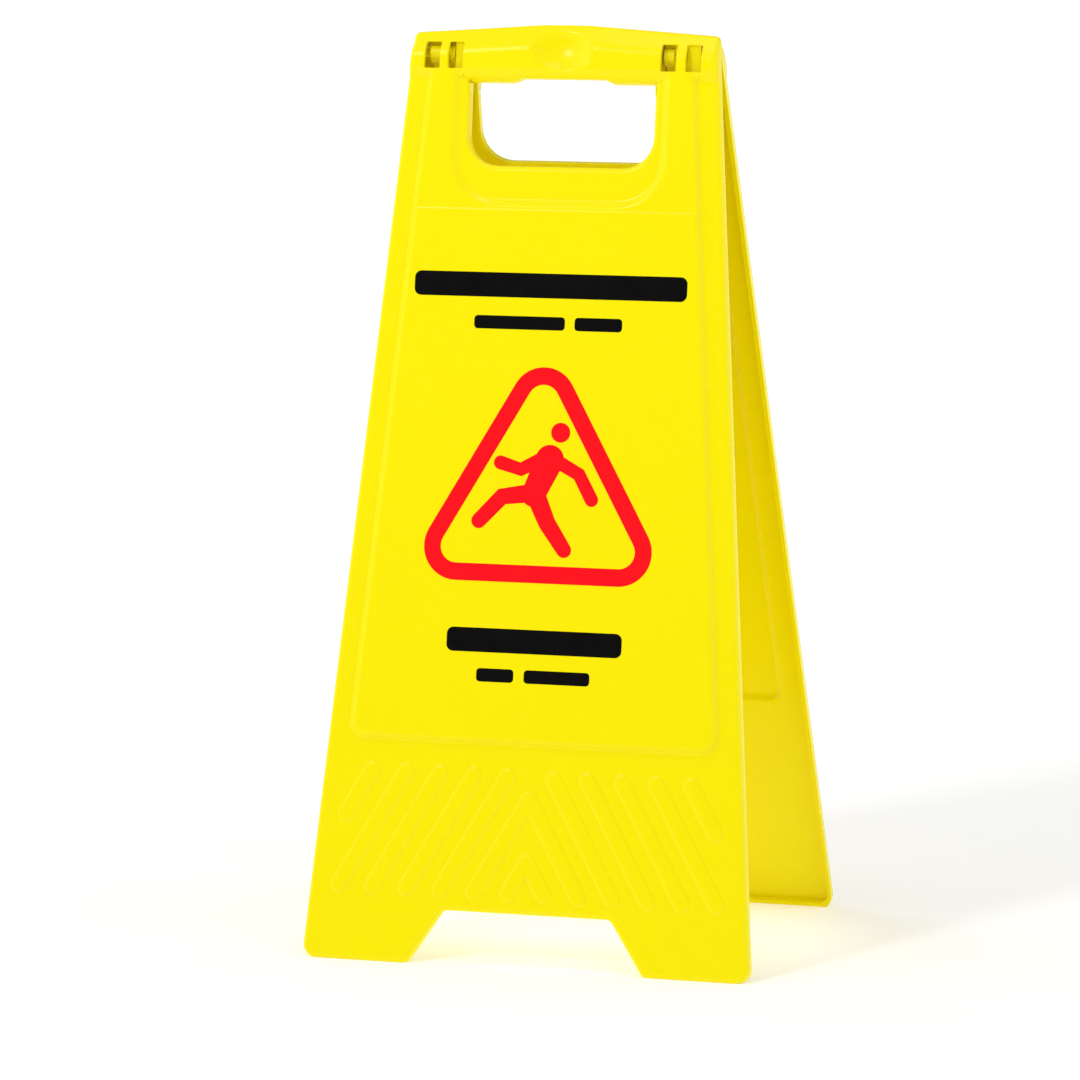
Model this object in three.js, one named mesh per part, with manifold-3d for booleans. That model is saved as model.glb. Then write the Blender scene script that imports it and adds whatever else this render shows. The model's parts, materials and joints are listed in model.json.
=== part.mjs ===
// Folding A-frame floor sign: two identical moulded panels that hinge under a carrying handle.
// Millimetres, +Z up, origin on the floor under the middle of the open sign, front panel at -Y.
//
// A panel is drawn in its own flat frame: x across, y through the panel (outer side negative),
// z along the panel, with the hinge axis on y = 0, z = 0. It is then leant and lifted into place.

import * as THREE from 'three';
import { mergeVertices } from 'three/addons/utils/BufferGeometryUtils.js';
import Module from 'manifold-3d';

const wasm = await Module();
wasm.setup();

// ---- driving dimensions -------------------------------------------------------------------
const HEIGHT = 600;                                   // floor to crown of the handle, standing
const FOOT_WIDTH = 301.5;                             // where the sides would meet the floor, uncut
const TOP_WIDTH = 203;                                // width that the sides reach at the crown
const LEAN = THREE.MathUtils.degToRad(10.55);         // each panel from the vertical
const PIVOT_HEIGHT = 580;

const WALL = 2.5;
const SKIN = 9;                                       // hinge plane to the panel's outer face
const RIM_GAP = 0.3;                                  // rim of the side wall to the hinge plane
const STOP_GAP = 0.15;                                // butting face above the hinge to y = 0

const PAD_RAISE = 3;                                  // raised printing area
const POST_RAISE = 2.7;                               // its arms beside the handle opening
const PAD_MARGIN = 13.5;                              // raised area to the panel's side
const PAD_BOTTOM = -448;
const PAD_CHAMFER = 1.6;
const PRINT_MARGIN = 14.3;                            // full raise to the panel's side
const PRINT_TOP = -98;                                // where the arms end and the full raise starts
const PRINT_BOTTOM = -447.2;

const HEAD_FACE = 12.3;                               // hinge plane to the handle's front face
const HEAD_ROUND = 11;
const HEAD_BOTTOM = -18.9;
const RIDGE = 5.2;                                    // edge between the handle's face and roof
const CROWN_FLAT = 15;                                // half the level length of the crown
const CROWN_DROP = 5.9;                               // crown to the top corners

const OPENING = { half: 62.2, floor: -72.7, corner: 20 };
const GRIP_STEP = { inner: 28, run: 6, rise: 2.8 };
const RECESS = { margin: 8, floor: -97, corner: 30 };

const NOTCH = { foot: 79.7, top: 56.2, height: 35.2 };
const CORNER = { foot: 9, top: 3.6, notch: 5, pad: 12, step: 4 };

const SCOOP = { radius: 28.4, stretch: 1.1, y: -33.9, z: 6.3 };

const RIB = { width: 10.7, raise: 0.8, lean: THREE.MathUtils.degToRad(30), pitch: 23, first: 12 };
const RIB_TOP = 122;
const RIB_BOTTOM = 48;
const RIB_SHORT_BOTTOM = 93;
const RIB_COUNT = 6;

const WINDOWS = [[-93, -82.6], [-77, -67], [66, 76.4], [82.5, 92.6]];
const WINDOW_RANGE = [-10.5, 6.9];
const WINDOW_BACK = -3;                               // behind the roof's inner side
const WINDOW_CORNER = 1;
const LUGS = [[-82.2, -78.2], [-73.4, -66.6], [74.2, 77.8], [82.6, 91]];
const KNUCKLE = 6;
const LUG = { roof: [-4.2, 12], face: -6.2, top: 8.2, shelf: -10.9, front: -10.6, bottom: -15.5 };
const LUG_HEEL = [-3, -14];
const PIN_RADIUS = 2.5;
const PIN_CLEARANCE = 0.3;
const PIN_SPAN = [66, 96];

const YELLOW = 0xffee02;
const panelPaint = { color: YELLOW, roughness: 0.45, metalness: 0 };

// ---- places that follow from them -----------------------------------------------------------
const sin = Math.sin(LEAN);
const cos = Math.cos(LEAN);
const alongAt = (height, y) => (height - PIVOT_HEIGHT + y * sin) / cos;
const sideSlope = (FOOT_WIDTH - TOP_WIDTH) / 2 / HEIGHT * cos;
const halfWidth = (along) => TOP_WIDTH / 2 + (alongAt(HEIGHT, -SKIN) - along) * sideSlope;
const crown = {
  y: -STOP_GAP * cos - (HEIGHT - PIVOT_HEIGHT) * sin,
  z: -STOP_GAP * sin + (HEIGHT - PIVOT_HEIGHT) * cos,
};
const roofRun = { y: -HEAD_FACE - crown.y, z: RIDGE - crown.z };
const roofAngle = Math.atan2(roofRun.y, roofRun.z);
const TRIM = 0.7;                                     // left over at the floor and roof, to be cut
const soleOutside = alongAt(0, -SKIN) - TRIM;
const soleInside = alongAt(0, 0);
const ROOF_CUT = { from: -1, length: 4 };             // in lengths of the roof, from its crown edge
const FAR = 700;                                      // beyond every part of a panel
const BURY = 1;                                       // how far a solid runs into what it joins
const CLEAR = 10;                                     // how far a cutting solid runs past what it cuts

// ---- fineness of the curves ---------------------------------------------------------------------
const ARC_STEPS = 6;
const RIB_STEPS = 4;
const SECTION_STEPS = 8;
const ROD_STEPS = 28;
const BALL_STEPS = { round: 40, high: 28 };
const SAME_POINT = 1e-4;

// ---- solids -----------------------------------------------------------------------------------
function solidOf(geometry) {
  const bare = geometry.clone();
  bare.deleteAttribute('normal');
  bare.deleteAttribute('uv');
  const merged = mergeVertices(bare, SAME_POINT);
  const vertProperties = new Float32Array(merged.attributes.position.array);
  const triVerts = new Uint32Array(merged.index.array);
  return new wasm.Manifold(new wasm.Mesh({ numProp: 3, vertProperties, triVerts }));
}

function geometryOf(solid) {
  const { vertProperties, triVerts } = solid.getMesh();
  const geometry = new THREE.BufferGeometry();
  geometry.setAttribute('position', new THREE.BufferAttribute(vertProperties, 3));
  geometry.setIndex(new THREE.BufferAttribute(triVerts, 1));
  geometry.computeVertexNormals();
  return geometry;
}

const joined = (solids) => solids.reduce((all, next) => all.add(next));

// A plate with its outline in x and z, from y = front to y = back, its front edge chamfered.
function plate(shape, front, back, chamfer = 0, curveSegments = ARC_STEPS) {
  const geometry = new THREE.ExtrudeGeometry(shape, {
    depth: back - front - 2 * chamfer,
    bevelEnabled: chamfer > 0,
    bevelThickness: chamfer,
    bevelSize: chamfer,
    bevelOffset: -chamfer,
    bevelSegments: 1,
    curveSegments,
  });
  geometry.rotateX(Math.PI / 2);
  geometry.translate(0, back - chamfer, 0);
  return solidOf(geometry);
}

// A bar along x with its section in y and z.
function bar(section, from, to) {
  const geometry = new THREE.ExtrudeGeometry(section, {
    depth: to - from,
    bevelEnabled: false,
    curveSegments: SECTION_STEPS,
  });
  geometry.applyMatrix4(new THREE.Matrix4().makeBasis(
    new THREE.Vector3(0, 1, 0),
    new THREE.Vector3(0, 0, 1),
    new THREE.Vector3(1, 0, 0),
  ));
  geometry.translate(from, 0, 0);
  return solidOf(geometry);
}

function box([x0, x1], [y0, y1], [z0, z1], lean = 0) {
  const geometry = new THREE.BoxGeometry(x1 - x0, y1 - y0, z1 - z0);
  geometry.translate((x0 + x1) / 2, (y0 + y1) / 2, (z0 + z1) / 2);
  geometry.rotateX(lean);
  return solidOf(geometry);
}

// ---- outlines ----------------------------------------------------------------------------------
// An outline is a list of corners [x, z, radius], anticlockwise.
const mirrored = (right) => [...right, ...right.map(([x, z, r]) => [-x, z, r]).reverse()];

function cornerAt(corners, i) {
  const count = corners.length;
  const [x, z, radius] = corners[i];
  const here = new THREE.Vector2(x, z);
  const [bx, bz] = corners[(i + count - 1) % count];
  const [ax, az] = corners[(i + 1) % count];
  const before = new THREE.Vector2(bx - x, bz - z).normalize();
  const after = new THREE.Vector2(ax - x, az - z).normalize();
  const half = Math.acos(before.dot(after)) / 2;
  const inward = before.clone().add(after).normalize();
  return { here, radius, before, after, half, inward, convex: after.cross(before) > 0 };
}

function roundedShape(corners) {
  const shape = new THREE.Shape();
  corners.forEach((_, i) => {
    const { here, radius, before, after, half, inward, convex } = cornerAt(corners, i);
    const start = here.clone().addScaledVector(before, radius / Math.tan(half));
    const end = here.clone().addScaledVector(after, radius / Math.tan(half));
    const centre = here.clone().addScaledVector(inward, radius / Math.sin(half));
    if (i === 0) shape.moveTo(start.x, start.y);
    else shape.lineTo(start.x, start.y);
    if (radius > 0) {
      const from = start.sub(centre).angle();
      const to = end.sub(centre).angle();
      shape.absarc(centre.x, centre.y, radius, from, to, !convex);
    }
  });
  return shape;
}

// The outline moved inward by a distance, or outward by a negative one.
function inset(corners, distance) {
  return corners.map((_, i) => {
    const { here, radius, half, inward, convex } = cornerAt(corners, i);
    const sign = convex ? 1 : -1;
    here.addScaledVector(inward, sign * distance / Math.sin(half));
    return [here.x, here.y, Math.max(radius - sign * distance, 0)];
  });
}

function panelOutline(sole) {
  const notchTop = alongAt(NOTCH.height, -SKIN);
  const cornerTop = crown.z - CROWN_DROP;
  return mirrored([
    [NOTCH.top, notchTop, CORNER.notch],
    [NOTCH.foot, sole, CORNER.notch],
    [halfWidth(sole), sole, CORNER.foot],
    [halfWidth(cornerTop), cornerTop + TRIM, CORNER.top],
    [CROWN_FLAT, crown.z + TRIM, 0],
  ]);
}

function openingOutline() {
  const { half, floor, corner } = OPENING;
  const { inner, run, rise } = GRIP_STEP;
  return mirrored([
    [half, floor, corner],
    [half, HEAD_BOTTOM, 0],
    [inner + run, HEAD_BOTTOM, 0],
    [inner, HEAD_BOTTOM + rise, 0],
  ]);
}

function padOutline(margin, bottom, top) {
  return mirrored([
    [halfWidth(bottom) - margin, bottom, CORNER.pad],
    [halfWidth(top) - margin, top, CORNER.step],
  ]);
}

function recessOutline() {
  const { margin, floor, corner } = RECESS;
  return mirrored([
    [OPENING.half + margin, floor, corner],
    [OPENING.half + margin, HEAD_BOTTOM + CLEAR, 0],
  ]);
}

// ---- the panel ----------------------------------------------------------------------------------
// Everything above the sloping roof of the handle, lowered by a distance.
function aboveRoof(lowered) {
  const reach = halfWidth(crown.z) + CLEAR;
  const drop = CROWN_DROP * (reach - CROWN_FLAT) / (halfWidth(crown.z) - CROWN_FLAT);
  const section = roundedShape(mirrored([
    [CROWN_FLAT, crown.z - lowered, 0],
    [reach, crown.z - drop - lowered, 0],
    [reach, FAR, 0],
  ]));
  const geometry = new THREE.ExtrudeGeometry(section, { depth: ROOF_CUT.length, bevelEnabled: false });
  geometry.translate(0, 0, ROOF_CUT.from);
  geometry.applyMatrix4(new THREE.Matrix4().makeBasis(
    new THREE.Vector3(1, 0, 0),
    new THREE.Vector3(0, 0, 1),
    new THREE.Vector3(0, roofRun.y, roofRun.z),
  ));
  geometry.translate(0, crown.y, 0);
  return solidOf(geometry);
}

// The handle's section without its roof, made smaller by a distance.
function headSection(shrink) {
  const face = -HEAD_FACE + shrink;
  const bottom = HEAD_BOTTOM + shrink;
  const round = HEAD_ROUND - shrink;
  const section = new THREE.Shape();
  section.moveTo(BURY, bottom);
  section.lineTo(BURY, crown.z + CLEAR);
  section.lineTo(face, crown.z + CLEAR);
  section.lineTo(face, bottom + round);
  section.absarc(face + round, bottom + round, round, Math.PI, Math.PI * 1.5, false);
  section.closePath();
  return section;
}

// The panel's full body, with every surface moved inward by a distance.
function body(shrink, sole) {
  const outline = roundedShape(inset(panelOutline(sole), shrink));
  const opening = roundedShape(inset(openingOutline(), -shrink));
  const chamfer = Math.max(PAD_CHAMFER - shrink, 0);
  const gripHalf = OPENING.half - shrink;
  const grip = box([-gripHalf, gripHalf], [-FAR, FAR], [HEAD_BOTTOM - BURY, FAR]);
  const recess = plate(roundedShape(inset(recessOutline(), -shrink)), -FAR, -SKIN + shrink);
  const pad = roundedShape(inset(padOutline(PAD_MARGIN, PAD_BOTTOM, RIDGE), shrink));
  const posts = plate(pad, -SKIN - POST_RAISE + shrink, 0, chamfer);
  const area = roundedShape(inset(padOutline(PRINT_MARGIN, PRINT_BOTTOM, PRINT_TOP), shrink));
  const print = plate(area, -SKIN - PAD_RAISE + shrink, 0, chamfer / 2);
  const head = bar(headSection(shrink), -FAR, FAR).intersect(plate(outline, -FAR, BURY));
  return plate(outline, -SKIN + shrink, BURY)
    .subtract(grip)
    .add(posts.subtract(recess))
    .add(print)
    .add(head)
    .subtract(plate(opening, -FAR, FAR))
    .subtract(aboveRoof(shrink / -Math.sin(roofAngle)));
}

// Ball that presses the thumb scoop into the handle's ridge.
function scoopBall(grow) {
  const ball = new THREE.SphereGeometry(SCOOP.radius + grow, BALL_STEPS.round, BALL_STEPS.high);
  ball.scale(SCOOP.stretch, 1, 1);
  ball.translate(0, SCOOP.y, SCOOP.z);
  return solidOf(ball);
}

// A chevron rib: a bar with round ends, leaning towards the middle line.
function rib(side, index) {
  const bottom = index === RIB_COUNT ? RIB_SHORT_BOTTOM : RIB_BOTTOM;
  const column = RIB.first + RIB.pitch * index;
  const offset = (height) => column - (height - RIB_BOTTOM) * Math.tan(RIB.lean);
  const top = Math.min(RIB_TOP, RIB_BOTTOM + column / Math.tan(RIB.lean));
  const low = new THREE.Vector2(side * offset(bottom), alongAt(bottom, -SKIN));
  const high = new THREE.Vector2(side * offset(top), alongAt(top, -SKIN));
  const turn = high.clone().sub(low).angle();
  const radius = RIB.width / 2;
  const shape = new THREE.Shape();
  shape.absarc(low.x, low.y, radius, turn + Math.PI / 2, turn + Math.PI * 1.5, false);
  shape.absarc(high.x, high.y, radius, turn - Math.PI / 2, turn + Math.PI / 2, false);
  return plate(shape, -SKIN - RIB.raise, -SKIN + BURY, RIB.raise / 2, RIB_STEPS);
}

function ribs() {
  const all = [];
  for (let index = 0; index <= RIB_COUNT; index += 1) {
    all.push(rib(-1, index), rib(1, index));
  }
  return joined(all);
}

// A hinge lug: a round eye on the axis, joined to the roof above and the skin below the windows.
function lug([from, to]) {
  const section = new THREE.Shape();
  section.moveTo(0, KNUCKLE);
  section.lineTo(...LUG.roof);
  section.lineTo(LUG.face, LUG.top);
  section.lineTo(LUG.face, LUG.shelf);
  section.lineTo(LUG.front, LUG.shelf);
  section.lineTo(LUG.front, LUG.bottom);
  section.lineTo(...LUG_HEEL);
  section.lineTo(0, -KNUCKLE);
  section.absarc(0, 0, KNUCKLE, -Math.PI / 2, Math.PI / 2, false);
  return bar(section, from, to);
}

function rod(radius, from, to) {
  const geometry = new THREE.CylinderGeometry(radius, radius, to - from, ROD_STEPS);
  geometry.rotateZ(Math.PI / 2);
  geometry.translate((from + to) / 2, 0, 0);
  return geometry;
}

function rectangle([x0, x1], [z0, z1], radius) {
  return roundedShape([[x1, z0, radius], [x1, z1, radius], [x0, z1, radius], [x0, z0, radius]]);
}

// What stands beyond the hinge plane, the stop plane or the floor.
function beyond() {
  const wide = [-FAR, FAR];
  return joined([
    box(wide, [-RIM_GAP, FAR], [-FAR, 0]),
    box(wide, [-STOP_GAP, FAR], [0, FAR], LEAN),
    box(wide, wide, [-FAR - PIVOT_HEIGHT, -PIVOT_HEIGHT], LEAN),
  ]);
}

function panelGeometry() {
  const walls = [-1, 1].map((side) => {
    const span = [OPENING.half, OPENING.half + WALL].map((x) => side * x).sort((a, b) => a - b);
    return box(span, [-SKIN - BURY, BURY], [HEAD_BOTTOM, FAR]);
  });
  const full = body(0, soleOutside).subtract(scoopBall(0));
  const hollow = body(WALL, soleInside).subtract(scoopBall(WALL)).subtract(joined(walls));
  const windows = WINDOWS.map((span) => (
    plate(rectangle(span, WINDOW_RANGE, WINDOW_CORNER), -FAR, WINDOW_BACK)
  ));
  const panel = full
    .subtract(hollow)
    .add(ribs())
    .subtract(beyond())
    .subtract(joined(windows))
    .add(joined(LUGS.map(lug)))
    .subtract(solidOf(rod(PIN_RADIUS + PIN_CLEARANCE, -FAR, FAR)));
  return geometryOf(panel);
}

// ---- the sign --------------------------------------------------------------------------------
function piece(name, geometry, look) {
  const mesh = new THREE.Mesh(geometry, new THREE.MeshStandardMaterial(look));
  mesh.name = name;
  return mesh;
}

function leaning(name, geometry, turn) {
  const panel = piece(name, geometry, panelPaint);
  panel.rotation.x = -LEAN;
  const half = new THREE.Group();
  half.rotation.z = turn;
  half.position.z = PIVOT_HEIGHT;
  half.add(panel);
  return half;
}

const sign = new THREE.Group();
const moulding = panelGeometry();
sign.add(leaning('front_panel', moulding, 0));
sign.add(leaning('rear_panel', moulding, Math.PI));

for (const [name, side] of [['hinge_pin_left', -1], ['hinge_pin_right', 1]]) {
  const [from, to] = PIN_SPAN.map((x) => side * x).sort((a, b) => a - b);
  const pin = piece(name, rod(PIN_RADIUS, from, to), { color: YELLOW, roughness: 0.5 });
  pin.position.z = PIVOT_HEIGHT;
  sign.add(pin);
}

export default sign;
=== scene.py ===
import json
import math

import bmesh
import bpy
import numpy as np
from mathutils import Matrix, Vector
from mathutils.geometry import delaunay_2d_cdt


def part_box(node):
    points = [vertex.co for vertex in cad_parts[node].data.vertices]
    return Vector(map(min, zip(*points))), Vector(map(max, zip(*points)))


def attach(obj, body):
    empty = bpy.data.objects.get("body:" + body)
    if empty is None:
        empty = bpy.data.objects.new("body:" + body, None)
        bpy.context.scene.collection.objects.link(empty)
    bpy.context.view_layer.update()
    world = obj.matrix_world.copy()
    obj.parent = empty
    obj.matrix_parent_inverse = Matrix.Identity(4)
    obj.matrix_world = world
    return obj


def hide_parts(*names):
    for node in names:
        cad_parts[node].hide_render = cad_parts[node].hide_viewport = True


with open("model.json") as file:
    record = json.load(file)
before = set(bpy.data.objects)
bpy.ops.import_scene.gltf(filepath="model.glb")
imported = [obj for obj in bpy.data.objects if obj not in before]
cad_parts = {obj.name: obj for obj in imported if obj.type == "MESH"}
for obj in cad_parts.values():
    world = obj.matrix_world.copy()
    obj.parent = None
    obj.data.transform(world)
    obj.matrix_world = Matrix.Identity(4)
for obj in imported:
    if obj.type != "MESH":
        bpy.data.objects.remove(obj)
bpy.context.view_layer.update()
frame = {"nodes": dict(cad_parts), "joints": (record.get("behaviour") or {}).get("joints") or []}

# The panels are drawn in millimetres in their own flat frame: x across, s along the panel from the
# hinge axis, h outward from the hinge plane. placed() leans a point into the part's frame, in metres.

# ---- driving dimensions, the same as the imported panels' --------------------------------------
MM = 0.001
PIVOT = frame["joints"][0]["pos_m"][2] / MM
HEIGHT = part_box("front_panel")[1].z / MM
LEAN = math.radians(10.55)
SIN, COS = math.sin(LEAN), math.cos(LEAN)
FOOT_WIDTH = 301.5
TOP_WIDTH = 203.0
WALL = 2.5
SKIN = 9.0
RIM_GAP = 0.3
STOP_GAP = 0.15

PAD_MARGIN = 13.5
PRINT_MARGIN = 14.3
PAD_BOTTOM = -448.0
PRINT_BOTTOM = -447.2
PRINT_TOP = -98.0
PAD_TOP = 6.3
PAD_RAISE = 3.0
PAD_CORNER_LOW, PAD_CORNER_HIGH = 12.0, 4.0
POST_RAISE = 2.7
STEP_WIDTH = 4.0
RECESS_STEP = 6.0

HEAD_FACE = 12.3
HEAD_ROUND = 11.0
HEAD_BOTTOM = -18.9
RIDGE = 5.2
RIDGE_SOFT = 2.2
CROWN_FLAT = 15.0
CROWN_DROP = 5.9
CROWN_EDGE = 0.6
CROWN_BEND = 60.0

OPENING_HALF, OPENING_FLOOR, OPENING_CORNER = 62.2, -72.7, 20.0
GRIP_INNER, GRIP_RUN, GRIP_RISE, GRIP_CORNER = 28.0, 6.0, 2.8, 3.0
RECESS_MARGIN, RECESS_FLOOR, RECESS_CORNER, RECESS_OVERLAP = 8.0, -97.0, 30.0, 12.0
NOTCH_FOOT, NOTCH_TOP, NOTCH_HEIGHT = 79.7, 56.2, 35.2
FOOT_CORNER, TOP_CORNER, NOTCH_CORNER = 9.0, 3.6, 5.0
SCOOP_RADIUS, SCOOP_STRETCH, SCOOP_H, SCOOP_S = 28.4, 1.1, 33.9, 6.3
SCOOP_HALF, SCOOP_BOTTOM = 24.0, -14.0

RIB_HALF = 5.35
RIB_SLOPE = 2.2
RIB_RAISE = 0.8
RIB_LEAN = math.radians(30)
RIB_PITCH, RIB_FIRST, RIB_COUNT = 23.0, 12.0, 6
RIB_TOP, RIB_BOTTOM, RIB_SHORT_BOTTOM = 122.0, 48.0, 93.0

WINDOWS = [(-93.0, -82.6), (-77.0, -67.0), (66.0, 76.4), (82.5, 92.6)]
WINDOW_RANGE = (-10.5, 6.9)
WINDOW_CORNER = 1.0
LUGS = [(-82.2, -78.2), (-73.4, -66.6), (74.2, 77.8), (82.6, 91.0)]
LUG_BEVEL = 0.3
KNUCKLE = 6.0
PIN_HOLE = 2.8
BORE_SPARE = 2.0

# ---- rounding and blends ----------------------------------------------------------------------
EDGE_ROUND = 3.3
OPENING_ROUND = 3.8
WINDOW_ROUND = 0.5
RIM_CHAMFER = 0.3
AREA_BLEND = 0.3
HEAD_BLEND = 0.9
SCOOP_BLEND = 1.5
CROWN_BLEND = 6.0
THINNEST = 0.1
SLIVER = 0.01
# The edge rounding fades out towards the top of the head and is small on the handle bar.
FADE_START, FADE_RUN, FADE_LOSS = 6.0, 7.0, 0.8
BAR_SHARE, BAR_REACH = 0.3, 8.0

# ---- where the mesh gets its guide lines ------------------------------------------------------
SLOPE_SHARES = np.array([-0.15, 0, 0.17, 0.33, 0.5, 0.67, 0.83, 1, 1.15])
RIB_SHARES = (-0.15, 0.0, 0.2, 0.4, 0.6, 0.8, 1.0, 1.2)
RIB_FOOT = 0.3
ROUND_SHARES = [1 - math.cos(a) for a in np.radians([15, 28, 41, 54, 66, 78, 90])]
ROUND_CLEAR = 0.6
HEAD_ANGLES = np.radians([0, 12, 24, 36, 48, 60, 70, 79, 86])
HEAD_STEP = 2.2
RIDGE_REACH, RIDGE_STEP = 4.0, 0.7
ROOF_ROWS = [12.0, 14.5, 16.5, 18.0]
ROW_STEP = 2.5
SCOOP_STEP = 0.9
SCOOP_COLUMNS = np.arange(-23, 23.1, SCOOP_STEP)
SCOOP_ROWS = np.arange(-12.5, 18.5, SCOOP_STEP)


def along_at(height, h):
    """Place along the panel of the points at a height above the floor, h outward."""
    return (height - PIVOT - h * SIN) / COS


SIDE_SLOPE = (FOOT_WIDTH - TOP_WIDTH) / 2 / HEIGHT * COS
SOLE_OUT = along_at(0, SKIN)
SOLE_IN = along_at(0, 0)
CROWN_H = STOP_GAP * COS + (HEIGHT - PIVOT) * SIN
CROWN_S = (HEIGHT - PIVOT) * COS - STOP_GAP * SIN
ROOF_SLOPE = (HEAD_FACE - CROWN_H) / (CROWN_S - RIDGE)
ROOF_ANGLE = math.atan(ROOF_SLOPE)
# How far the roof is lowered along the panel to leave a wall under it.
LOWERED = WALL / math.sin(math.pi / 2 - ROOF_ANGLE) / ROOF_SLOPE + 0.3


def half_width(s):
    return TOP_WIDTH / 2 + (along_at(HEIGHT, SKIN) - s) * SIDE_SLOPE


TOP_HALF = half_width(CROWN_S - CROWN_DROP)


# ---- outlines ------------------------------------------------------------------------------
# An outline is a list of corners (x, s, radius), anticlockwise.
def mirrored(right):
    return right + [(-x, s, r) for x, s, r in reversed(right)]


def corner_at(corners, i):
    """Corner i with the directions to its neighbours and half of the angle between them."""
    here = np.array(corners[i][:2], float)
    before = np.array(corners[i - 1][:2], float) - here
    after = np.array(corners[(i + 1) % len(corners)][:2], float) - here
    before /= np.linalg.norm(before)
    after /= np.linalg.norm(after)
    half = math.acos(max(-1.0, min(1.0, float(before @ after)))) / 2
    inward = (before + after) / np.linalg.norm(before + after)
    convex = after[0] * before[1] - after[1] * before[0] > 0
    return here, before, after, half, inward, convex


def inset(corners, distance):
    """The outline moved inward by a distance, or outward by a negative one."""
    moved = []
    for i, (_, _, radius) in enumerate(corners):
        here, _, _, half, inward, convex = corner_at(corners, i)
        sign = 1 if convex else -1
        point = here + inward * sign * distance / math.sin(half)
        moved.append((point[0], point[1], max(radius - sign * distance, 0.0)))
    return moved


def sampled(corners, distance=0.0, step=4.0, turn=math.radians(13)):
    """Points round the outline moved inward, the same number for every distance."""
    moved = inset(corners, distance)
    arcs = []
    for i, (_, _, radius) in enumerate(moved):
        here, before, after, half, inward, convex = corner_at(moved, i)
        centre = here + inward * radius / math.sin(half)
        start = here + before * radius / math.tan(half) - centre
        sweep = (math.pi - 2 * half) * (1 if convex else -1)
        count = max(1, math.ceil(abs(sweep) / turn))
        base = math.atan2(start[1], start[0])
        angles = base + sweep * np.linspace(0, 1, count + 1)
        reach = math.hypot(*start)
        arcs.append(centre + reach * np.column_stack([np.cos(angles), np.sin(angles)]))
    points = []
    for i, arc in enumerate(arcs):
        length = math.dist(corners[i][:2], corners[(i + 1) % len(corners)][:2])
        count = max(1, math.ceil(length / step))
        share = np.linspace(0, 1, count + 1)[1:-1, None]
        following = arcs[(i + 1) % len(arcs)][0]
        points += [arc, arc[-1] * (1 - share) + following * share]
    return np.round(np.vstack(points), 4)


def panel_outline(sole):
    top = CROWN_S - CROWN_EDGE
    corner_top = top - CROWN_DROP
    notch = along_at(NOTCH_HEIGHT, SKIN)
    return mirrored([
        (NOTCH_TOP, notch, NOTCH_CORNER),
        (NOTCH_FOOT, sole, NOTCH_CORNER),
        (half_width(sole), sole, FOOT_CORNER),
        (half_width(corner_top), corner_top, TOP_CORNER),
        (CROWN_FLAT, top, CROWN_BEND),
    ])


def opening_outline():
    return mirrored([
        (OPENING_HALF, OPENING_FLOOR, OPENING_CORNER),
        (OPENING_HALF, HEAD_BOTTOM, 1.0),
        (GRIP_INNER + GRIP_RUN, HEAD_BOTTOM, GRIP_CORNER),
        (GRIP_INNER, HEAD_BOTTOM + GRIP_RISE, GRIP_CORNER),
    ])


def pad_outline(margin, bottom, top):
    return mirrored([
        (half_width(bottom) - margin, bottom, PAD_CORNER_LOW),
        (half_width(top) - margin, top, PAD_CORNER_HIGH),
    ])


def recess_outline():
    return mirrored([
        (OPENING_HALF + RECESS_MARGIN, RECESS_FLOOR, RECESS_CORNER),
        (OPENING_HALF + RECESS_MARGIN, HEAD_BOTTOM + RECESS_OVERLAP, 0.0),
    ])


def window_outline(span):
    left, right = span
    low, high = WINDOW_RANGE
    return [(x, s, WINDOW_CORNER) for x, s in ((right, low), (right, high), (left, high), (left, low))]


def roof_floor(x):
    """Where the lowered roof meets the stop plane at x."""
    return CROWN_S - LOWERED - crown_drop(abs(x))


def cavity_outline():
    """The hollow behind the panel and in the corner blocks, which runs round the handle opening."""
    rib = OPENING_HALF + WALL
    side = half_width(CROWN_S) - WALL
    notch = along_at(NOTCH_HEIGHT, SKIN) + WALL
    edge = math.hypot(1, SIDE_SLOPE) * WALL
    return mirrored([
        (NOTCH_TOP + WALL * 0.8, notch, NOTCH_CORNER + WALL),
        (NOTCH_FOOT + WALL * 1.2, SOLE_IN + WALL, NOTCH_CORNER - WALL),
        (half_width(SOLE_IN) - edge, SOLE_IN + WALL, FOOT_CORNER - WALL),
        (side, roof_floor(side), 2.0),
        (rib, roof_floor(rib), 1.0),
        (OPENING_HALF + WALL, OPENING_FLOOR - WALL, OPENING_CORNER + WALL),
    ])


def bar_outline():
    """The hollow inside the handle bar, between its two cross ribs."""
    bottom = HEAD_BOTTOM + WALL
    half = OPENING_HALF - SLIVER
    return mirrored([
        (GRIP_INNER - WALL * 0.4, bottom + GRIP_RISE, 1.0),
        (GRIP_INNER + GRIP_RUN - WALL * 0.4, bottom, 1.0),
        (half, bottom, 1.5),
        (half, roof_floor(half), 1.5),
        (CROWN_FLAT, roof_floor(CROWN_FLAT), CROWN_BEND),
    ])


# ---- heights -------------------------------------------------------------------------------
def smooth(t):
    t = np.clip(t, 0, 1)
    return t * t * (3 - 2 * t)


def soft_max(a, b, k):
    t = np.clip(0.5 + 0.5 * (a - b) / k, 0, 1)
    return b * (1 - t) + a * t + k * t * (1 - t)


def soft_min(a, b, k):
    return -soft_max(-a, -b, k)


def crown_drop(x):
    slope = CROWN_DROP / (TOP_HALF - CROWN_FLAT)
    return slope * soft_max(np.abs(x) - CROWN_FLAT, 0.0 * np.asarray(x), CROWN_BLEND)


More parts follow.
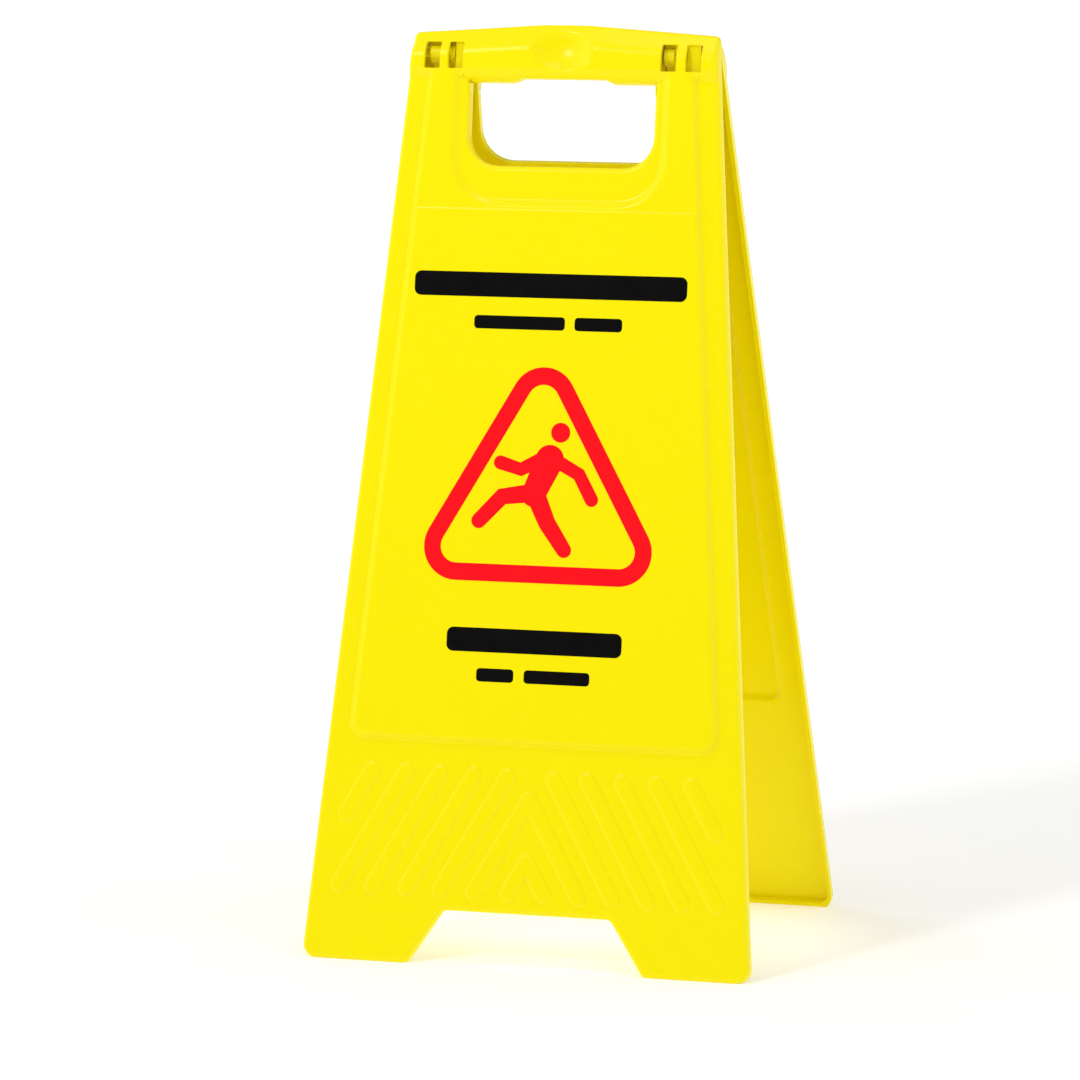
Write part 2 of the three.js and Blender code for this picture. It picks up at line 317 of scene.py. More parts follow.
def depth_inside(points, loop):
    """Distance from each point to the closed loop, positive inside it."""
    start, end = loop, np.roll(loop, -1, axis=0)
    along = end - start
    square = np.maximum((along ** 2).sum(1), 1e-12)
    out = np.empty(len(points))
    for first in range(0, len(points), 2000):
        some = points[first:first + 2000, None, :]
        t = np.clip(((some - start) * along).sum(2) / square, 0, 1)
        near = np.sqrt((((start + t[..., None] * along) - some) ** 2).sum(2)).min(1)
        crosses = (start[:, 1] > some[..., 1]) != (end[:, 1] > some[..., 1])
        rise = np.where(np.abs(along[:, 1]) < 1e-12, 1e-12, along[:, 1])
        at = start[:, 0] + (some[..., 1] - start[:, 1]) * along[:, 0] / rise
        inside = (crosses & (some[..., 0] < at)).sum(1) % 2 == 1
        out[first:first + 2000] = np.where(inside, near, -near)
    return out


def rib_lines():
    """Centre lines of the chevron ribs, as (low end, high end)."""
    lines = []
    for index in range(RIB_COUNT + 1):
        low = RIB_SHORT_BOTTOM if index == RIB_COUNT else RIB_BOTTOM
        column = RIB_FIRST + RIB_PITCH * index
        high = min(RIB_TOP, RIB_BOTTOM + column / math.tan(RIB_LEAN))
        ends = [(column - (z - RIB_BOTTOM) * math.tan(RIB_LEAN), along_at(z, SKIN)) for z in (low, high)]
        for side in (-1, 1):
            lines.append([np.array((side * x, s)) for x, s in ends])
    return lines


def segment_distance(points, low, high):
    along = high - low
    t = np.clip((points - low) @ along / (along @ along), 0, 1)
    return np.linalg.norm(points - low - t[:, None] * along, axis=1)


def rib_height(points):
    near = np.full(len(points), 1e9)
    for low, high in rib_lines():
        near = np.minimum(near, segment_distance(points, low, high))
    return RIB_RAISE * smooth((RIB_HALF - near) / RIB_SLOPE + RIB_FOOT)


def scoop_height(points, grow):
    """Height of the far side of the ball that presses the thumb scoop into the ridge."""
    radius = SCOOP_RADIUS + grow
    lateral = points[:, 0] * radius / (SCOOP_RADIUS * SCOOP_STRETCH + grow)
    square = radius ** 2 - lateral ** 2 - (points[:, 1] - SCOOP_S) ** 2
    return np.where(square > 0, SCOOP_H - np.sqrt(np.maximum(square, 0)), 1e3)


def head_height(points, shrink):
    """Height of the face of the handle bar and corner blocks, moved inward by shrink."""
    s = points[:, 1]
    radius = HEAD_ROUND - shrink
    fall = np.clip(HEAD_BOTTOM + HEAD_ROUND - s, 0, radius)
    height = HEAD_FACE - shrink - radius + np.sqrt(radius ** 2 - fall ** 2)
    return np.where(s < HEAD_BOTTOM + shrink - SLIVER, 0.0, height)


def roof_height(points, shrink):
    """Height of the sloping roof above the ridge, moved inward by shrink."""
    x, s = points.T
    return HEAD_FACE - shrink / math.cos(ROOF_ANGLE) - (s + crown_drop(x) - RIDGE) * ROOF_SLOPE


def skin_height(points, shrink=0.0):
    """Height of the panel's outer skin, or of the hollow's floor when moved inward by shrink."""
    pad = depth_inside(points, sampled(inset(pad_outline(PAD_MARGIN, PAD_BOTTOM, PAD_TOP), shrink)))
    area = pad_outline(PRINT_MARGIN, PRINT_BOTTOM, PRINT_TOP)
    area = depth_inside(points, sampled(inset(area, shrink)))
    recess = depth_inside(points, sampled(inset(recess_outline(), -shrink)))
    posts = POST_RAISE * smooth(pad / STEP_WIDTH) * (1 - smooth(recess / RECESS_STEP + 0.5))
    raised = soft_max(posts, PAD_RAISE * smooth(area / STEP_WIDTH), AREA_BLEND)
    height = SKIN - shrink + raised
    in_grip = (np.abs(points[:, 0]) < OPENING_HALF + 1) & (points[:, 1] > HEAD_BOTTOM - 0.5)
    height = np.where(in_grip, 0.0, height)
    if shrink == 0:
        height = height + rib_height(points)
    height = soft_max(height, head_height(points, shrink), HEAD_BLEND)
    height = soft_min(height, roof_height(points, shrink), RIDGE_SOFT)
    scooped = soft_min(height, scoop_height(points, shrink), SCOOP_BLEND)
    near_scoop = (np.abs(points[:, 0]) < SCOOP_HALF) & (points[:, 1] > SCOOP_BOTTOM)
    return np.where(near_scoop, scooped, height)


def rim_height(points):
    """Height of the rim, which lies on the hinge plane and above it on the stop plane."""
    return np.maximum(RIM_GAP, (STOP_GAP + points[:, 1] * SIN) / COS)


def edge_share(points):
    """How much of the full edge rounding a point of the outline gets."""
    x, s = points.T
    share = 1 - FADE_LOSS * smooth((s - FADE_START) / FADE_RUN)
    on_bar = (np.abs(x) < OPENING_HALF + 0.5) & (np.abs(s - HEAD_BOTTOM) < BAR_REACH)
    return np.where(on_bar, BAR_SHARE, share)


# ---- surfaces --------------------------------------------------------------------------------
def placed(points, heights):
    """Points of the flat frame leant into the part's frame, in metres, kept above the floor."""
    x, s = points.T
    y = -heights * COS + s * SIN
    z = np.maximum(PIVOT + heights * SIN + s * COS, 0.0)
    return np.column_stack([x, y, z]) * MM


def without_doubles(loop):
    keep = np.linalg.norm(loop - np.roll(loop, 1, axis=0), axis=1) > 1e-4
    return loop[keep]


def triangulated(loops, guides):
    """Flat triangles over the region that the loops bound, with the guide lines as edges."""
    points, edges = [], []
    for loop in loops:
        first, size = len(points), len(loop)
        points += [Vector(p) for p in loop]
        edges += [(first + i, first + (i + 1) % size) for i in range(size)]
    border = len(edges)
    for line, _ in guides:
        first = len(points)
        points += [Vector(p) for p in line]
        edges += [(first + i, first + i + 1) for i in range(len(line) - 1)]
    flat, made, faces, _, sources, _ = delaunay_2d_cdt(points, edges, [], 0, 1e-5)
    crossing = {frozenset(e) for e, source in zip(made, sources) if any(i < border for i in source)}
    sides = {}
    for index, face in enumerate(faces):
        for a, b in zip(face, face[1:] + face[:1]):
            sides.setdefault(frozenset((a, b)), []).append(index)
    within = {}
    queue = []
    for edge, touching in sides.items():
        if len(touching) == 1:
            queue.append((touching[0], edge in crossing))
    while queue:
        index, kept = queue.pop()
        if index in within:
            continue
        within[index] = kept
        face = faces[index]
        for a, b in zip(face, face[1:] + face[:1]):
            edge = frozenset((a, b))
            for other in sides[edge]:
                if other not in within:
                    queue.append((other, kept != (edge in crossing)))
    kept = [face for index, face in enumerate(faces) if within[index]]
    return np.round(np.array([tuple(p) for p in flat]), 4), np.array(kept)


def kept_guides(lines, loops, clearance=0.25):
    """The stretches of the guide lines that lie inside the region, clear of its loops."""
    kept = []
    for line, closed in lines:
        if closed:
            line = np.vstack([line, line[:1]])
        depths = np.array([depth_inside(line, loop) for loop in loops])
        clear = (np.abs(depths).min(0) > clearance) & ((depths > 0).sum(0) % 2 == 1)
        run = []
        for point, good in zip(line, clear):
            if good:
                run.append(point)
            if run and not good:
                kept.append((np.array(run), False))
                run = []
        if run:
            kept.append((np.array(run), False))
    return kept


def guide_loops(corners, distances, step=4.0):
    return [(without_doubles(sampled(corners, d, step)), True) for d in distances]


def capsule(low, high, radius, count=10):
    turn = math.atan2(*(high - low)[::-1])
    ends = []
    for centre, base in ((low, turn + math.pi / 2), (high, turn - math.pi / 2)):
        angles = base + np.linspace(0, math.pi, count + 1)
        ends.append(centre + radius * np.column_stack([np.cos(angles), np.sin(angles)]))
    return np.vstack(ends)


def long_capsule(low, high, radius):
    """A capsule's outline with points along its straight sides too."""
    outline = capsule(low, high, radius)
    half = len(outline) // 2
    share = np.linspace(0, 1, max(2, round(math.dist(low, high) / 4)))[1:-1, None]
    sides = [outline[half - 1] * (1 - share) + outline[half] * share,
             outline[-1] * (1 - share) + outline[0] * share]
    return np.vstack([outline[:half], sides[0], outline[half:], sides[1]])


def head_rows(values, reach, step):
    """Lines across the head at places along it, following the crown's fall above the ridge."""
    x = np.arange(-reach, reach + step / 2, step)
    rows = []
    for value in values:
        follow = smooth((value + 6) / 8)
        rows.append((np.column_stack([x, value - follow * crown_drop(x)]), False))
    return rows


def level_guides(shrink):
    """Guide lines on both edges and the slopes of every raised or sunk area."""
    slope = SLOPE_SHARES * STEP_WIDTH
    lines = guide_loops(inset(pad_outline(PAD_MARGIN, PAD_BOTTOM, PAD_TOP), shrink), slope)
    lines += guide_loops(inset(pad_outline(PRINT_MARGIN, PRINT_BOTTOM, PRINT_TOP), shrink), slope)
    lines += guide_loops(inset(recess_outline(), -shrink), (SLOPE_SHARES - 0.5) * RECESS_STEP)
    return lines


def head_guides(shrink):
    radius = HEAD_ROUND - shrink
    low = HEAD_BOTTOM + shrink + radius
    values = [low - radius * math.sin(a) for a in HEAD_ANGLES]
    values += list(np.arange(low + 1.5, RIDGE - RIDGE_REACH, HEAD_STEP))
    values += list(np.arange(RIDGE - RIDGE_REACH, RIDGE + RIDGE_REACH + 0.1, RIDGE_STEP))
    return head_rows(values + ROOF_ROWS, TOP_HALF, ROW_STEP)


def scoop_guides():
    x = SCOOP_COLUMNS
    return [(np.column_stack([x, np.full(len(x), s)]), False) for s in SCOOP_ROWS]


def surface(loops, guides, height):
    """A skin patch: the loops' own points get the height that the walls meet them at."""
    solid_loops = [without_doubles(loop) for loop in loops]
    flat, faces = triangulated(solid_loops, kept_guides(guides, solid_loops))
    return flat, faces, height(flat)


def edge_fall(points, loops, rounding):
    """How far the rounded edge falls below the skin, by distance from the loops."""
    near = np.min([np.abs(depth_inside(points, loop)) for loop in loops], axis=0)
    near = np.where(near < 1e-3, 0.0, np.minimum(near, rounding))
    return rounding - np.sqrt(rounding ** 2 - (rounding - near) ** 2)


class Shell:
    """Collects patches and walls, then welds them into one closed mesh."""

    def __init__(self):
        self.points, self.faces, self.count = [], [], 0

    def add(self, points, faces):
        self.points.append(points)
        self.faces += [tuple(int(i) + self.count for i in face) for face in faces]
        self.count += len(points)

    def wall(self, rings):
        """Quads between closed rings of equally many points."""
        size = len(rings[0])
        quads = []
        for level in range(len(rings) - 1):
            for i in range(size):
                a, b = level * size + i, level * size + (i + 1) % size
                quads.append((a, b, b + size, a + size))
        self.add(np.vstack(rings), quads)

    def mesh(self, name, weld):
        made = bpy.data.meshes.new(name)
        made.from_pydata(np.vstack(self.points).tolist(), [], self.faces)
        shape = bmesh.new()
        shape.from_mesh(made)
        bmesh.ops.remove_doubles(shape, verts=shape.verts, dist=weld)
        bmesh.ops.dissolve_degenerate(shape, edges=shape.edges, dist=weld / 10)
        bmesh.ops.recalc_face_normals(shape, faces=shape.faces)
        shape.to_mesh(made)
        open_edges = sum(1 for e in shape.edges if len(e.link_faces) != 2)
        print(f"{name}: {len(shape.verts)} points, {len(shape.faces)} faces, {open_edges} open edges")
        shape.free()
        return made


def panel_mesh():
    outline = panel_outline(SOLE_OUT)
    opening = opening_outline()
    windows = [window_outline(span) for span in WINDOWS]
    cavity = cavity_outline()
    bar = bar_outline()
    outer_loops = [sampled(outline), sampled(opening)]
    window_loops = [sampled(w, step=1.5) for w in windows]
    clean_outer = [without_doubles(loop) for loop in outer_loops]
    clean_windows = [without_doubles(loop) for loop in window_loops]

    def outside(points):
        height = skin_height(points)
        height = height - edge_share(points) * edge_fall(points, clean_outer[:1], EDGE_ROUND)
        height = height - edge_share(points) * edge_fall(points, clean_outer[1:], OPENING_ROUND)
        height = height - edge_fall(points, clean_windows, WINDOW_ROUND)
        return np.maximum(height, rim_height(points) + THINNEST)

    def hollow(points):
        return np.maximum(skin_height(points, WALL), rim_height(points) + THINNEST)

    guides = level_guides(0.0) + head_guides(0.0) + scoop_guides()
    guides += guide_loops(outline, [EDGE_ROUND * f for f in ROUND_SHARES] + [EDGE_ROUND + ROUND_CLEAR])
    around = [-OPENING_ROUND * f for f in ROUND_SHARES] + [-OPENING_ROUND - ROUND_CLEAR]
    guides += guide_loops(opening, around)
    for corners in windows:
        guides += guide_loops(corners, [-WINDOW_ROUND * f for f in ROUND_SHARES], step=1.5)
    for low, high in rib_lines():
        for share in RIB_SHARES:
            guides.append((long_capsule(low, high, RIB_HALF + RIB_SLOPE * (RIB_FOOT - share)), True))

    shell = Shell()
    flat, faces, height = surface(outer_loops + window_loops, guides, outside)
    shell.add(placed(flat, height), faces)

    inner_guides = level_guides(WALL) + head_guides(WALL)
    cavity_loop = sampled(cavity)
    flat, faces, height = surface([cavity_loop] + window_loops, inner_guides, hollow)
    shell.add(placed(flat, height), faces)
    bar_loop = sampled(bar)
    flat, faces, height = surface([bar_loop], head_guides(WALL) + scoop_guides(), hollow)
    shell.add(placed(flat, height), faces)

    rims = []
    for corners, way in ((outline, 1), (opening, -1), (cavity, -1), (bar, -1)):
        edge, chamfered = sampled(corners), sampled(corners, way * RIM_CHAMFER)
        skin = outside(edge) if corners is outline or corners is opening else hollow(edge)
        gap = np.minimum(RIM_CHAMFER, (skin - rim_height(edge)) / 2)
        shell.wall([placed(edge, skin), placed(edge, rim_height(edge) + gap),
                    placed(chamfered, rim_height(chamfered))])
        rims.append(chamfered)
    flat, faces, height = surface(rims, [], rim_height)
    shell.add(placed(flat, height), faces)
    for loop in window_loops:
        shell.wall([placed(loop, outside(loop)), placed(loop, hollow(loop))])
    return shell.mesh("panel", 2e-6)


def extruded(section, start, end, bevel):
    """A closed bar along x with its section in h and s, its long edges rounded."""
    shape = bmesh.new()
    rings = []
    for x, shrink in ((start, bevel), (start + bevel, 0.0), (end - bevel, 0.0), (end, bevel)):
        ring = sampled([(h, s, r) for h, s, r in section], shrink, step=50.0, turn=math.radians(12))
        y = -ring[:, 0] * COS + ring[:, 1] * SIN
        z = PIVOT + ring[:, 0] * SIN + ring[:, 1] * COS
        rings.append([shape.verts.new((x * MM, b * MM, c * MM)) for b, c in zip(y, z)])
    size = len(rings[0])
    for low, high in zip(rings, rings[1:]):
        for i in range(size):
            j = (i + 1) % size
            shape.faces.new((low[i], low[j], high[j], high[i]))
    shape.faces.new(rings[0][::-1])
    shape.faces.new(rings[-1])
    bmesh.ops.recalc_face_normals(shape, faces=shape.faces)
    made = bpy.data.meshes.new("bar")
    shape.to_mesh(made)
    shape.free()
    return made


def circle_points(radius, count):
    angles = np.linspace(0, 2 * math.pi, count, endpoint=False)
    return [(radius * math.cos(a), radius * math.sin(a), 0.0) for a in angles]


def shown(name, mesh):
    made = bpy.data.objects.new(name, mesh)
    bpy.context.scene.collection.objects.link(made)
    return made


def joined(base, others, operation):
    """The base object's mesh after cutting or adding the others, which are then removed."""
    for other in others:
        cut = base.modifiers.new("solid", "BOOLEAN")
        cut.operation, cut.solver, cut.object = operation, "MANIFOLD", other
    ready = base.evaluated_get(bpy.context.evaluated_depsgraph_get())
    made = bpy.data.meshes.new_from_object(ready)
    base.modifiers.clear()
    base.data = made
    for other in others:
        bpy.data.objects.remove(other)


# A lug's section as (h, s, radius): the round knuckle, then the way round the webs that hold it.
LUG_SECTION = [
    (-KNUCKLE * math.sin(a), -KNUCKLE * math.cos(a), 0.0)
    for a in np.linspace(0, math.pi, 19)
] + [
    (4.2, 12.0, 0.3), (6.2, 8.2, 0.3), (6.2, -10.9, 0.3),
    (10.6, -10.9, 0.3), (10.6, -15.5, 0.3), (3.0, -14.0, 0.3),
]

FRONT = shown("front_shell", panel_mesh())
lugs = [shown("lug", extruded(LUG_SECTION, a, b, LUG_BEVEL)) for a, b in LUGS]
joined(FRONT, lugs, "UNION")
bores = []
for left, right in LUGS:
    bore = extruded(circle_points(PIN_HOLE, 32), left - BORE_SPARE, right + BORE_SPARE, 0.0)
    bores.append(shown("bore", bore))
joined(FRONT, bores, "DIFFERENCE")
FRONT.data.name = "panel"
SHARP = math.radians(38)
FRONT.data.shade_smooth()
FRONT.data.set_sharp_from_angle(angle=SHARP)


# ---- printing ------------------------------------------------------------------------------
PRINT_FACE = SKIN + PAD_RAISE
INK = 0.05
STRIP_CORNER = 0.28
PRINT_STEP = 3.0
RING_TURN = math.radians(8)


def film(outlines):
    """A thin closed film on the printing area, bounded by the outlines, holes included."""
    loops = [without_doubles(np.array(o, float)) for o in outlines]
    flat, faces = triangulated(loops, [])
    top = placed(flat, np.full(len(flat), PRINT_FACE + INK))
    under = placed(flat, np.full(len(flat), PRINT_FACE))
    shell = Shell()
    shell.add(top, faces)
    shell.add(under, faces)
    for loop in loops:
        low = np.full(len(loop), PRINT_FACE)
        shell.wall([placed(loop, low + INK), placed(loop, low)])
    return shell.mesh("film", 1e-6)


def strip(left, right, low, high):
    """A strip with round corners, standing for a line of printing."""
    radius = (high - low) * STRIP_CORNER
    corners = ((right, low), (right, high), (left, high), (left, low))
    return sampled([(x, s, radius) for x, s in corners], 0, PRINT_STEP)


def limb(points, widths):
    """A rounded limb along the points, as wide as stated at each."""
    points = [np.array(p, float) for p in points]
    left, right = [], []
    for i, point in enumerate(points):
        before = points[max(i - 1, 0)]
        after = points[min(i + 1, len(points) - 1)]
        along = (after - before) / np.linalg.norm(after - before)
        across = np.array([-along[1], along[0]]) * widths[i] / 2
        left.append(point + across)
        right.append(point - across)
    cap = []
    for end, width, turn in ((points[-1], widths[-1], points[-1] - points[-2]),
                             (points[0], widths[0], points[0] - points[1])):
        base = math.atan2(turn[1], turn[0])
        angles = base + np.linspace(-math.pi / 2, math.pi / 2, 13)[1:-1]
        cap.append([end + width / 2 * np.array([math.cos(a), math.sin(a)]) for a in angles])
    return np.array(right + cap[0] + left[::-1] + cap[1])


def disc(x, s, radius):
    angles = np.linspace(0, 2 * math.pi, 40, endpoint=False)
    return np.column_stack([x + radius * np.cos(angles), s + radius * np.sin(angles)])


# Each bar as (left, right, low, high), and each limb as its points and its widths there.
BARS = [
    (-92.5, 90.5, -158.2, -142.3),
    (-51.0, 10.0, -178.8, -170.2),
    (16.5, 48.3, -178.8, -170.2),
    (-60.0, 57.5, -387.8, -372.2),
    (-39.0, -14.0, -406.8, -398.2),
    (-7.0, 37.0, -406.8, -398.2),
]
TRIANGLE = inset([(52.8, -320.0, 0.0), (-2.0, -224.7, 0.0), (-56.2, -320.0, 0.0)], -22.0)
STROKE = 11.3
FIGURE_HEAD = (10.5, -244.5, 6.4)
FIGURE_LIMBS = [
    ([(4.0, -262.0), (-6.0, -285.0)], [19.0, 16.0]),
    ([(9.0, -263.0), (24.0, -271.0), (33.0, -287.0)], [9.0, 9.0, 9.0]),
    ([(0.0, -261.0), (-15.0, -269.0), (-29.0, -265.0)], [9.0, 9.0, 9.0]),
    ([(-7.0, -284.0), (-27.0, -287.0), (-42.0, -303.0)], [12.0, 11.0, 10.0]),
    ([(-4.0, -286.0), (4.0, -303.0), (16.0, -320.0)], [13.0, 11.5, 10.0]),
]

bars = shown("front_bars", film([strip(a, b, low, high) for a, b, low, high in BARS]))
ring_edges = [sampled(inset(TRIANGLE, d), 0, PRINT_STEP, RING_TURN) for d in (0, STROKE)]
ring = shown("front_ring", film(ring_edges))
figure = shown("front_figure", film([limb(*FIGURE_LIMBS[0])]))
joined(figure, [shown("limb", film([limb(*one)])) for one in FIGURE_LIMBS[1:]], "UNION")
head = shown("front_figure_head", film([disc(*FIGURE_HEAD)]))


# ---- materials --------------------------------------------------------------------------------
class Nodes:
    """Builds one material's node tree."""

    def __init__(self, name):
        self.material = bpy.data.materials.new(name)
        self.material.use_nodes = True
        self.tree = self.material.node_tree
        self.shader = self.tree.nodes["Principled BSDF"]

    def add(self, kind, inputs=None, **settings):
        node = self.tree.nodes.new(kind)
        for key, value in settings.items():
            setattr(node, key, value)
        for key, value in (inputs or {}).items():
            if isinstance(value, bpy.types.NodeSocket):
                self.tree.links.new(value, node.inputs[key])
            else:
                node.inputs[key].default_value = value
        return node

    def link(self, output, socket):
        self.tree.links.new(output, self.shader.inputs[socket])

    def noise(self, where, scale, detail=2.0, rough=0.5):
        return self.add("ShaderNodeTexNoise", {
            "Vector": where, "Scale": scale, "Detail": detail, "Roughness": rough}).outputs["Fac"]

    def ranged(self, value, low, high, to_low, to_high):
        return self.add("ShaderNodeMapRange", {
            "Value": value, "From Min": low, "From Max": high, "To Min": to_low, "To Max": to_high,
        }).outputs["Result"]

    def mixed(self, factor, first, second):
        node = self.add("ShaderNodeMix", data_type="RGBA")
        for socket, value in ((node.inputs[0], factor), (node.inputs[6], first), (node.inputs[7], second)):
            if isinstance(value, bpy.types.NodeSocket):
                self.tree.links.new(value, socket)
            else:
                socket.default_value = value
        return node.outputs[2]


def plastic(name, base, deep):
    """Moulded polypropylene: fine spark grain, faint flow shading and light scuffs."""
    n = Nodes(name)
    where = n.add("ShaderNodeTexCoord").outputs["Object"]
    flow = n.noise(where, 9.0, 3.0, 0.55)
    grain = n.noise(where, 1900.0, 2.0, 0.6)
    scuffs = n.noise(where, 160.0, 6.0, 0.7)
    tone = n.ranged(flow, 0.3, 0.7, 0.0, 1.0)
    colour = n.mixed(tone, deep, base)
    n.link(colour, "Base Color")
    rough = n.ranged(scuffs, 0.35, 0.7, 0.21, 0.3)
    n.link(rough, "Roughness")
    bump = n.add("ShaderNodeBump", {"Strength": 0.03, "Distance": 0.0001, "Height": grain})
    n.link(bump.outputs["Normal"], "Normal")
    n.shader.inputs["Specular IOR Level"].default_value = 0.17
    return n.material


def ink(name, base, worn):
    """Screen-printed ink: slightly uneven cover with a soft sheen."""
    n = Nodes(name)
    where = n.add("ShaderNodeTexCoord").outputs["Object"]
    cover = n.noise(where, 70.0, 5.0, 0.6)
    n.link(n.mixed(n.ranged(cover, 0.35, 0.75, 0.0, 1.0), base, worn), "Base Color")
    n.link(n.ranged(cover, 0.3, 0.7, 0.38, 0.5), "Roughness")
    fine = n.noise(where, 1500.0, 2.0, 0.5)
    bump = n.add("ShaderNodeBump", {"Strength": 0.1, "Distance": 0.0001, "Height": fine})
    n.link(bump.outputs["Normal"], "Normal")
    n.shader.inputs["Specular IOR Level"].default_value = 0.05
    return n.material


YELLOW = plastic("panel_plastic", (0.97, 0.835, 0.0004, 1), (0.96, 0.825, 0.0003, 1))
PIN_YELLOW = plastic("pin_plastic", (0.97, 0.84, 0.0008, 1), (0.93, 0.80, 0.0006, 1))
BLACK = ink("ink_black", (0.0025, 0.002, 0.002, 1), (0.0035, 0.003, 0.0028, 1))
RED = ink("ink_red", (0.99, 0.006, 0.013, 1), (0.96, 0.006, 0.012, 1))

FRONT.data.materials.clear()
FRONT.data.materials.append(YELLOW)
bars.data.materials.append(BLACK)
for piece in (ring, figure, head):
    piece.data.materials.clear()
    piece.data.materials.append(RED)

# ---- the rear half ---------------------------------------------------------------------------
TURNED = Matrix.Rotation(math.pi, 4, "Z")
halves = {}
for source, name in ((FRONT, "rear_shell"), (bars, "rear_bars"), (ring, "rear_ring"),
                     (figure, "rear_figure"), (head, "rear_figure_head")):
    mesh = source.data.copy()
    mesh.transform(TURNED)
    halves[name] = shown(name, mesh)

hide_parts("front_panel")
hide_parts("rear_panel")
for piece, body, slot in (
    (FRONT, "front", "panel_plastic"),
    (bars, "front", "ink_black"),
    (ring, "front", "ink_red"),
    (figure, "front", "ink_red"),
    (head, "front", "ink_red"),
    (halves["rear_shell"], "rear", "panel_plastic"),
    (halves["rear_bars"], "rear", "ink_black"),
    (halves["rear_ring"], "rear", "ink_red"),
    (halves["rear_figure"], "rear", "ink_red"),
    (halves["rear_figure_head"], "rear", "ink_red"),
):
    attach(piece, body)

PIN_BEVEL = 0.4
for node in ("hinge_pin_left", "hinge_pin_right"):
    pin = frame["nodes"][node]
    for slot in pin.material_slots:
        slot.material = PIN_YELLOW
    edge = pin.modifiers.new("edge", "BEVEL")
    edge.width = PIN_BEVEL * MM
    edge.segments = 3
    edge.limit_method = "ANGLE"
    edge.angle_limit = SHARP

# ---- floor, light and camera ------------------------------------------------------------------
floor_mesh = bpy.data.meshes.new("floor")
FLOOR_HALF = 60
floor_corners = [(x * FLOOR_HALF, y * FLOOR_HALF, 0) for x, y in ((-1, -1), (1, -1), (1, 1), (-1, 1))]
floor_mesh.from_pydata(floor_corners, [], [(0, 1, 2, 3)])
floor = shown("floor", floor_mesh)
pale = Nodes("floor_paint_and_glow")
pale.shader.inputs["Base Color"].default_value = (0.93, 0.93, 0.93, 1)
pale.shader.inputs["Roughness"].default_value = 0.9
pale.shader.inputs["Specular IOR Level"].default_value = 0.1
pale.shader.inputs["Emission Color"].default_value = (1, 1, 1, 1)
# The floor glows, as painted light: evenly far away, less near the sign, and more on the patch between the
# panels, where the glow stands in for a fill lamp that lights the panels' inner faces.
place = pale.add("ShaderNodeTexCoord").outputs["Object"]
reach = pale.add("ShaderNodeVectorMath", {0: place}, operation="LENGTH").outputs["Value"]
far = pale.add("ShaderNodeMapRange", {
    "Value": reach, "From Min": 0.4, "From Max": 2.2, "To Min": 0.22, "To Max": 0.43,
}, interpolation_type="SMOOTHSTEP").outputs["Result"]
squeeze = pale.add("ShaderNodeVectorMath", {0: place, 1: (1.0, 1.7, 1.0)}, operation="MULTIPLY")
squeezed = squeeze.outputs["Vector"]
between = pale.add("ShaderNodeVectorMath", {0: squeezed}, operation="LENGTH").outputs["Value"]
# Painted light: a glowing patch under the sign, between the panels, that brightens their inner faces in
# place of a fill lamp.
under = pale.add("ShaderNodeMapRange", {
    "Value": between, "From Min": 0.0, "From Max": 0.24, "To Min": 0.4, "To Max": 0.0,
}, interpolation_type="SMOOTHSTEP").outputs["Result"]
glow = pale.add("ShaderNodeMath", {0: far, 1: under}, operation="ADD").outputs["Value"]
pale.link(glow, "Emission Strength")
floor.data.materials.append(pale.material)

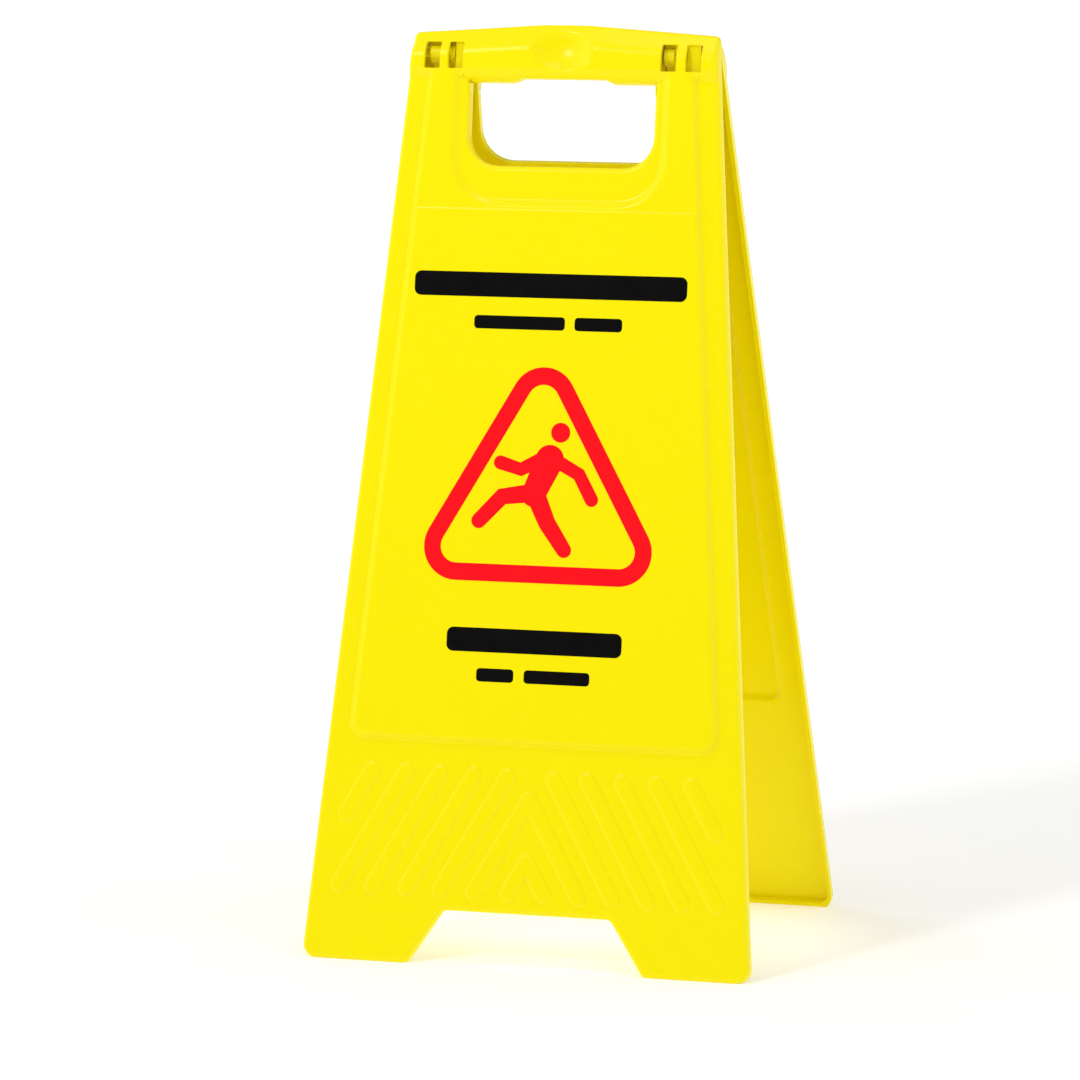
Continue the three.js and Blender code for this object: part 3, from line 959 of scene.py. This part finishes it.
# Soft light all round, brighter overhead and at both sides than ahead.
world = bpy.data.worlds.new("studio")
bpy.context.scene.world = world
world.use_nodes = True
tree = world.node_tree
ways = tree.nodes.new("ShaderNodeTexCoord")
split = tree.nodes.new("ShaderNodeSeparateXYZ")
sky = tree.nodes.new("ShaderNodeMapRange")
sky.interpolation_type = "SMOOTHSTEP"
for key, value in {"From Min": 0.1, "From Max": 0.95, "To Min": 0.18, "To Max": 0.46}.items():
    sky.inputs[key].default_value = value
sides = tree.nodes.new("ShaderNodeMapRange")
sides.interpolation_type = "SMOOTHSTEP"
for key, value in {"From Min": 0.35, "From Max": 0.95, "To Min": 0.0, "To Max": 1.14}.items():
    sides.inputs[key].default_value = value
across = tree.nodes.new("ShaderNodeMath")
across.operation = "ABSOLUTE"
total = tree.nodes.new("ShaderNodeMath")
tree.links.new(ways.outputs["Generated"], split.inputs["Vector"])
tree.links.new(split.outputs["Z"], sky.inputs["Value"])
tree.links.new(split.outputs["X"], across.inputs[0])
tree.links.new(across.outputs["Value"], sides.inputs["Value"])
tree.links.new(sky.outputs["Result"], total.inputs[0])
tree.links.new(sides.outputs["Result"], total.inputs[1])
tree.links.new(total.outputs["Value"], tree.nodes["Background"].inputs["Strength"])
tree.nodes["Background"].inputs["Color"].default_value = (1, 1, 1, 1)


def lamp(name, place, aim, size, power):
    light = bpy.data.lights.new(name, "AREA")
    light.shape = "DISK"
    light.size = size
    light.energy = power
    made = bpy.data.objects.new(name, light)
    bpy.context.scene.collection.objects.link(made)
    made.location = place
    made.rotation_euler = (Vector(aim) - Vector(place)).to_track_quat("-Z", "Y").to_euler()
    return made


lamp("key", (-1.9, -3.2, 3.3), (0, 0, 0.4), 0.8, 54.0)
lamp("top", (0.0, -0.7, 3.6), (0, 0, 0.5), 1.1, 15.0)

AZIMUTH, ELEVATION, ROLL = math.radians(16.68), math.radians(9.345), math.radians(-0.429)
DISTANCE, TARGET, LENS, SENSOR = 3.6698, Vector((-0.0209, 0.0, 0.2616)), 186.2, 36.0
level = math.cos(ELEVATION)
back = Vector((math.sin(AZIMUTH) * level, -math.cos(AZIMUTH) * level, math.sin(ELEVATION)))
right = Vector((0, 0, 1)).cross(back).normalized()
up = back.cross(right)
turned_right = right * math.cos(ROLL) + up * math.sin(ROLL)
turned_up = -right * math.sin(ROLL) + up * math.cos(ROLL)
camera = bpy.data.objects.new("camera", bpy.data.cameras.new("camera"))
bpy.context.scene.collection.objects.link(camera)
turn = Matrix((turned_right, turned_up, back)).transposed().to_4x4()
camera.matrix_world = Matrix.Translation(TARGET + back * DISTANCE) @ turn
camera.data.lens, camera.data.sensor_width = LENS, SENSOR
camera.data.clip_end = 50.0
bpy.context.scene.camera = camera
bpy.context.scene.view_settings.view_transform = "Standard"
